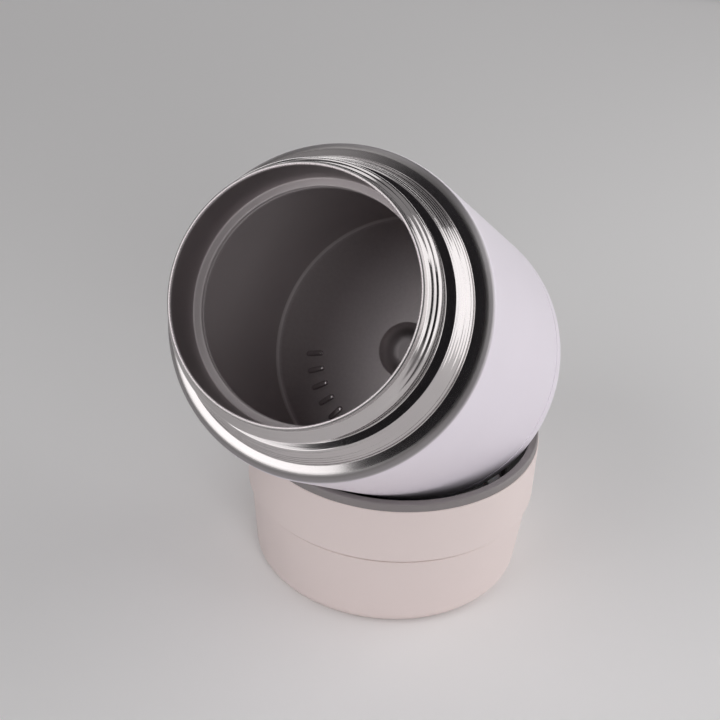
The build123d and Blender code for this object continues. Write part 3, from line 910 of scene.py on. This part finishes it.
class FOODJAR_OT_base(bpy.types.Operator):
    """Spin the base cap and finish the hidden pieces of the vacuum space"""
    bl_idname = "food_jar.base"
    bl_label = "Base And Vacuum Parts"

    def execute(self, context):
        settings = context.scene.food_jar
        outline = sheet_outline(BASE_OUTSIDE, -settings.jar.steel, settings.jar)
        cap = spin("base_cover", outline, settings.jar.facets, LEAN)
        dress(cap, base_finish(settings.finish), "jar", "base_coat", "base_cap")
        refinish("vacuum_floor", sheet_steel_finish("dish_steel", DISH_STEEL, 0.28))
        refinish("getter", sheet_steel_finish("getter_tin", GETTER_TIN, 0.42))
        refinish("vacuum_seal", bead_finish())
        refinish("foil_wrap", foil_finish())
        return {"FINISHED"}


class FOODJAR_OT_top_cap(bpy.types.Operator):
    """Spin the top cap that the upturned lid stands on"""
    bl_idname = "food_jar.top_cap"
    bl_label = "Top Cap"

    def execute(self, context):
        settings = context.scene.food_jar
        line = settings.lid.line_height
        rim = line - LINE_WIDTH

        def side(height):
            share = (height - CAP_EDGE) / (line - CAP_EDGE)
            return CAP_LOW_RADIUS + (CAP_LINE_RADIUS - CAP_LOW_RADIUS) * share

        outline = [
            (0, 0, 0),
            (side(0), 0, CAP_EDGE),
            (side(rim), rim, CAP_RIM_BEND),
            (side(rim) - CAP_WALL, rim, CAP_RIM_BEND),
            (side(CAP_WALL) - CAP_WALL, CAP_WALL, CAP_EDGE - CAP_WALL),
            (0, CAP_WALL, 0),
        ]
        cap = spin("lid_top_cap", outline, settings.jar.facets)
        dress(cap, lid_finish(settings.finish, "cap_white"), "top_cap", "cap_white", "top_cap")
        return {"FINISHED"}


class FOODJAR_OT_collar(bpy.types.Operator):
    """Spin the collar with its web, spigot and deck"""
    bl_idname = "food_jar.collar"
    bl_label = "Lid Collar"

    def execute(self, context):
        settings = context.scene.food_jar
        radius, line = settings.lid.radius, settings.lid.line_height
        spigot = radius - SPIGOT_INSET
        groove_low, groove_high = low("cap_seal").z, high("cap_seal").z
        outline = [
            (0, DECK_LOW, 0),
            (spigot, DECK_LOW, SPIGOT_BEND),
            (spigot, groove_low, 0),
            (spigot - SEAL_GROOVE, groove_low, 0),
            (spigot - SEAL_GROOVE, groove_high, 0),
            (spigot, groove_high, 0),
            (spigot, line, 0),
            (radius - COLLAR_TAPER, line, COLLAR_LOW_BEND),
            (radius, LID_HEIGHT, COLLAR_TOP_BEND),
            (radius - COLLAR_WALL, LID_HEIGHT, 0),
            (radius - COLLAR_WALL, line + WEB, WEB_BEND),
            (spigot - SPIGOT_WALL, line + WEB, 0),
            (spigot - SPIGOT_WALL, DECK_TOP, 0),
            (0, DECK_TOP, 0),
        ]
        collar = spin("lid_skirt", outline, settings.jar.facets)
        dress(collar, lid_finish(settings.finish, "collar_white"), "lid_collar",
              "collar_white", "lid_collar")
        return {"FINISHED"}


class FOODJAR_OT_liner(bpy.types.Operator):
    """Spin the grey liner with its rim ring, and wind four lengths of thread in its bore"""
    bl_idname = "food_jar.liner"
    bl_label = "Threaded Liner"

    def execute(self, context):
        settings = context.scene.food_jar
        radius, facets = settings.lid.radius, settings.jar.facets
        wide, mouth = radius - COLLAR_WALL, radius - RING_WALL
        pocket = radius - SPIGOT_INSET - SPIGOT_WALL
        bore = pocket - LINER_WALL
        outline = [
            (0, PLATE_TOP - LINER_FLOOR, 0),
            (PLATE_RADIUS - LINER_FLOOR, PLATE_TOP - LINER_FLOOR, 0),
            (PLATE_RADIUS - LINER_FLOOR, GASKET_SEAT - LINER_FLOOR, 0),
            (pocket, GASKET_SEAT - LINER_FLOOR, 0),
            (pocket, LINER_STEP - LINER_STEP_WALL, 0),
            (wide, LINER_STEP - LINER_STEP_WALL, 0),
            (wide, LID_HEIGHT, 0),
            (radius - RING_INSET, LID_HEIGHT, 0),
            (radius - RING_INSET, RIM_TOP, RING_BEND),
            (mouth, RIM_TOP, RING_MOUTH_BEND),
            (mouth, LINER_STEP, LINER_STEP_BEND),
            (bore, LINER_STEP, LINER_STEP_EDGE),
            (bore, GASKET_SEAT, GASKET_SEAT_BEND),
            (PLATE_RADIUS, GASKET_SEAT, 0),
            (PLATE_RADIUS, PLATE_TOP, PLATE_EDGE),
            (0, PLATE_TOP, 0),
        ]
        finish = liner_finish(settings.finish)
        liner = spin("lid_liner", outline, facets)
        dress(liner, finish, "lid_collar", "liner_grey", "thread_liner")
        threads = new_piece("liner_threads", *thread_mesh(bore))
        dress(threads, finish, "lid_collar", "liner_grey", "thread_liner")
        return {"FINISHED"}


def thread_mesh(bore, steps=48, around=9):
    """Spots and faces of rounded thread lengths that run out into the bore at both ends."""
    spots, faces = [], []
    middle = THREAD_TOP - THREAD_WIDTH / 2
    for length in range(THREAD_COUNT):
        first = len(spots)
        for step in range(steps + 1):
            along = THREAD_ARC * step / steps
            edge = min(along, THREAD_ARC - along) / THREAD_RUNOUT
            stand = sin(min(edge, 1) * pi / 2)
            angle = 2 * pi * length / THREAD_COUNT + along
            width = THREAD_WIDTH * (THREAD_END_WIDTH + (1 - THREAD_END_WIDTH) * stand)
            for point in range(around):
                swing = pi * point / (around - 1)
                rise = (THREAD_HEIGHT + THREAD_SINK) * stand * sin(swing) ** THREAD_CROWN
                reach = bore + THREAD_SINK - rise
                spots.append((reach * cos(angle), reach * sin(angle),
                              middle - width / 2 * cos(swing)))
        for step in range(steps):
            for point in range(around - 1):
                here = first + step * around + point
                faces.append((here, here + around, here + around + 1, here + 1))
    return spots, faces


class FOODJAR_OT_seals(bpy.types.Operator):
    """Finish the gasket, the cap seal and the foam of the lid"""
    bl_idname = "food_jar.seals"
    bl_label = "Lid Seals And Foam"

    def execute(self, context):
        finish = context.scene.food_jar.finish
        refinish("lid_gasket", silicone_finish(finish, "gasket_silicone"))
        refinish("cap_seal", silicone_finish(finish, "seal_silicone"))
        refinish("lid_insulation", foam_finish())
        return {"FINISHED"}


# ---- the stage ----

CAMERA_PLACE = Vector((0.16870, -0.45058, 0.37666))
CAMERA_BEARING = radians(22.08)      # round the object from straight in front, to the right
CAMERA_RISE = radians(32.11)
CAMERA_ROLL = radians(3.71)
CAMERA_LENS = 85.49                  # millimetres on a 36 mm sensor
SENSOR = 36.0
FLOOR_SIZE = 8.0
AIM = Vector((0, -0.02, 0.09))       # what the round lamps, the cards and the hood face
KEY_BEARING = radians(117)
KEY_DISTANCE = 0.50
KEY_SIZE = (0.72, 0.60)
FILL_BEARING = radians(-29)
FILL_DISTANCE = 0.42
FILL_SIZE = (0.505, 0.158)
LAMP_FOOT = 0.002                    # lower edge of the upright lamps above the floor
MOUTH_LAMP_BEARING = radians(-25)
MOUTH_LAMP_RISE = radians(38)
MOUTH_LAMP_DISTANCE = 0.80
MOUTH_LAMP_SIZE = 0.50
SIDE_LAMP_BEARING = radians(36)
SIDE_LAMP_RISE = radians(24)
SIDE_LAMP_DISTANCE = 0.80
SIDE_LAMP_SIZE = 0.40
BACK_LAMP_BEARING = radians(195)
BACK_LAMP_DISTANCE = 0.60
BACK_LAMP_SIZE = (0.85, 0.20)
TOP_LAMP_BEARING = radians(214)
TOP_LAMP_RISE = radians(52)
TOP_LAMP_DISTANCE = 0.90
TOP_LAMP_SIZE = 0.60
CARD_DISTANCE = 0.60
BACK_CARD_BEARING = radians(188)
BACK_CARD_RISE = radians(33)
BACK_CARD_SIZE = (0.90, 0.20)
SIDE_CARD_BEARING = radians(88)
SIDE_CARD_RISE = radians(26)
SIDE_CARD_SIZE = (0.42, 0.36)
HOOD_BEARING = radians(20)
HOOD_RISE = radians(40)
HOOD_RADIUS = 0.95
HOOD_REACH = radians(64)             # from the hood's middle to its edge
HOOD_SOFT = radians(18)              # see-through towards the edge


def flat_board(name, width, height, place):
    """A thin board in its own XY plane."""
    spots = [place @ Vector((x * width / 2, y * height / 2, 0))
             for x, y in ((-1, -1), (1, -1), (1, 1), (-1, 1))]
    return new_piece(name, spots, [(0, 1, 2, 3)])


def bearing_way(bearing, rise=0.0):
    """The way from the object at a bearing, counted to the right from straight in front."""
    return Vector((sin(bearing) * cos(rise), -cos(bearing) * cos(rise), sin(rise)))


def new_lamp(name, shape, power, place, turn):
    """An area lamp out of the camera's sight."""
    light = bpy.data.lights.new(name, "AREA")
    light.shape = shape
    light.energy = power
    lamp = bpy.data.objects.new(name, light)
    lamp.location = place
    lamp.rotation_euler = turn
    lamp.visible_camera = False
    bpy.context.scene.collection.objects.link(lamp)
    return lamp


def upright_lamp(name, bearing, distance, size, power):
    """A rectangular lamp that stands on its edge and faces the object."""
    place = bearing_way(bearing) * distance + Vector((0, 0, LAMP_FOOT + size[1] / 2))
    lamp = new_lamp(name, "RECTANGLE", power, place, (pi / 2, 0, bearing))
    lamp.data.size, lamp.data.size_y = size
    return lamp


def round_lamp(name, bearing, rise, distance, size, power):
    """A round lamp that hangs at a bearing and a rise and faces the object."""
    way = bearing_way(bearing, rise)
    turn = way.to_track_quat("Z", "Y").to_euler()
    lamp = new_lamp(name, "DISK", power, AIM + way * distance, turn)
    lamp.data.size = size
    return lamp


def black_hood(rings=40, around=96):
    """A black bowl over the front of the object, out of the camera's sight."""
    middle = bearing_way(HOOD_BEARING, HOOD_RISE)
    place = Matrix.Translation(AIM) @ middle.to_track_quat("Z", "Y").to_matrix().to_4x4()
    spots = [place @ Vector((0, 0, HOOD_RADIUS))]
    for ring in range(1, rings + 1):
        reach = HOOD_REACH * ring / rings
        for step in range(around):
            angle = 2 * pi * step / around
            spots.append(place @ Vector((sin(reach) * cos(angle) * HOOD_RADIUS,
                                         sin(reach) * sin(angle) * HOOD_RADIUS,
                                         cos(reach) * HOOD_RADIUS)))
    faces = [(0, 1 + step, 1 + (step + 1) % around) for step in range(around)]
    for ring in range(rings - 1):
        first = 1 + ring * around
        faces += [(first + step, first + around + step, first + around + (step + 1) % around,
                   first + (step + 1) % around) for step in range(around)]
    hood = new_piece("black_hood", spots, faces)
    hood.data.materials.append(hood_finish(middle))
    hood.visible_camera = False


def black_card(name, bearing, rise, size):
    """A black card that faces the object and is seen only in its polished steel."""
    way = bearing_way(bearing, rise)
    turn = way.to_track_quat("Z", "Y").to_matrix().to_4x4()
    card = flat_board(name, *size, Matrix.Translation(AIM + way * CARD_DISTANCE) @ turn)
    material, start = new_material(name)
    end_material(start.node("ShaderNodeBsdfDiffuse", None, {"Color": colour(CARD_BLACK)}))
    card.data.materials.append(material)
    card.visible_camera = False
    card.visible_diffuse = False
    card.visible_shadow = False


def set_camera(scene):
    """The camera, from its bearing, rise and roll."""
    back = bearing_way(CAMERA_BEARING, CAMERA_RISE)
    right = Vector((cos(CAMERA_BEARING), sin(CAMERA_BEARING), 0))
    up = back.cross(right)
    across = right * cos(CAMERA_ROLL) + up * sin(CAMERA_ROLL)
    upward = up * cos(CAMERA_ROLL) - right * sin(CAMERA_ROLL)
    camera = bpy.data.objects.new("camera", bpy.data.cameras.new("camera"))
    camera.data.lens = CAMERA_LENS
    camera.data.sensor_width = SENSOR
    camera.matrix_world = Matrix((across, upward, back)).transposed().to_4x4()
    camera.location = CAMERA_PLACE
    scene.collection.objects.link(camera)
    scene.camera = camera


class FOODJAR_OT_stage(bpy.types.Operator):
    """Lay the floor, hang the lamps, the black hood and the cards, and set the camera"""
    bl_idname = "food_jar.stage"
    bl_label = "Studio"

    def execute(self, context):
        scene = context.scene
        studio = scene.food_jar.studio
        scene.view_settings.view_transform = "Standard"
        floor = flat_board("studio_floor", FLOOR_SIZE, FLOOR_SIZE, Matrix())
        floor.data.materials.append(floor_finish(studio.floor))
        black_hood()
        black_card("back_card", BACK_CARD_BEARING, BACK_CARD_RISE, BACK_CARD_SIZE)
        black_card("side_card", SIDE_CARD_BEARING, SIDE_CARD_RISE, SIDE_CARD_SIZE)
        upright_lamp("key_lamp", KEY_BEARING, KEY_DISTANCE, KEY_SIZE, studio.key)
        fill = upright_lamp("fill_lamp", FILL_BEARING, FILL_DISTANCE, FILL_SIZE, studio.fill)
        fill.visible_diffuse = False
        round_lamp("mouth_lamp", MOUTH_LAMP_BEARING, MOUTH_LAMP_RISE, MOUTH_LAMP_DISTANCE,
                   MOUTH_LAMP_SIZE, studio.mouth)
        side = round_lamp("side_lamp", SIDE_LAMP_BEARING, SIDE_LAMP_RISE, SIDE_LAMP_DISTANCE,
                          SIDE_LAMP_SIZE, studio.side)
        side.visible_glossy = False
        back = upright_lamp("back_lamp", BACK_LAMP_BEARING, BACK_LAMP_DISTANCE, BACK_LAMP_SIZE,
                            studio.back)
        back.visible_diffuse = False
        top = round_lamp("top_lamp", TOP_LAMP_BEARING, TOP_LAMP_RISE, TOP_LAMP_DISTANCE,
                         TOP_LAMP_SIZE, studio.top)
        top.visible_diffuse = False
        world = bpy.data.worlds.new("studio_world")
        world.use_nodes = True
        world.node_tree.nodes.clear()
        sky = Signal(world.node_tree).node(
            "ShaderNodeBackground", None, {"Color": colour(SKY), "Strength": studio.world})
        end = world.node_tree.nodes.new("ShaderNodeOutputWorld")
        world.node_tree.links.new(sky.socket, end.inputs["Surface"])
        scene.world = world
        set_camera(scene)
        return {"FINISHED"}


STEPS = (
    FOODJAR_OT_stage, FOODJAR_OT_shell, FOODJAR_OT_vessel, FOODJAR_OT_base, FOODJAR_OT_top_cap,
    FOODJAR_OT_collar, FOODJAR_OT_liner, FOODJAR_OT_seals,
)


class FOODJAR_PT_panel(bpy.types.Panel):
    """The food jar's settings and steps"""
    bl_label = "Food Jar"
    bl_idname = "FOODJAR_PT_panel"
    bl_space_type = "VIEW_3D"
    bl_region_type = "UI"
    bl_category = "Food Jar"

    def draw(self, context):
        settings = context.scene.food_jar
        for group in (settings.jar, settings.lid, settings.finish, settings.studio):
            box = self.layout.box()
            for name in group.__annotations__:
                box.prop(group, name)
        for step in STEPS:
            self.layout.operator(step.bl_idname)


CLASSES = (JarSettings, LidSettings, FinishSettings, StudioSettings, FoodJarSettings,
           *STEPS, FOODJAR_PT_panel)


def register():
    for item in CLASSES:
        bpy.utils.register_class(item)
    bpy.types.Scene.food_jar = PointerProperty(type=FoodJarSettings)


def unregister():
    del bpy.types.Scene.food_jar
    for item in reversed(CLASSES):
        bpy.utils.unregister_class(item)


def main():
    """Makes every piece and the stage."""
    register()
    for step in STEPS:
        group, name = step.bl_idname.split(".")
        getattr(getattr(bpy.ops, group), name)()


if __name__ == "__main__":
    main()
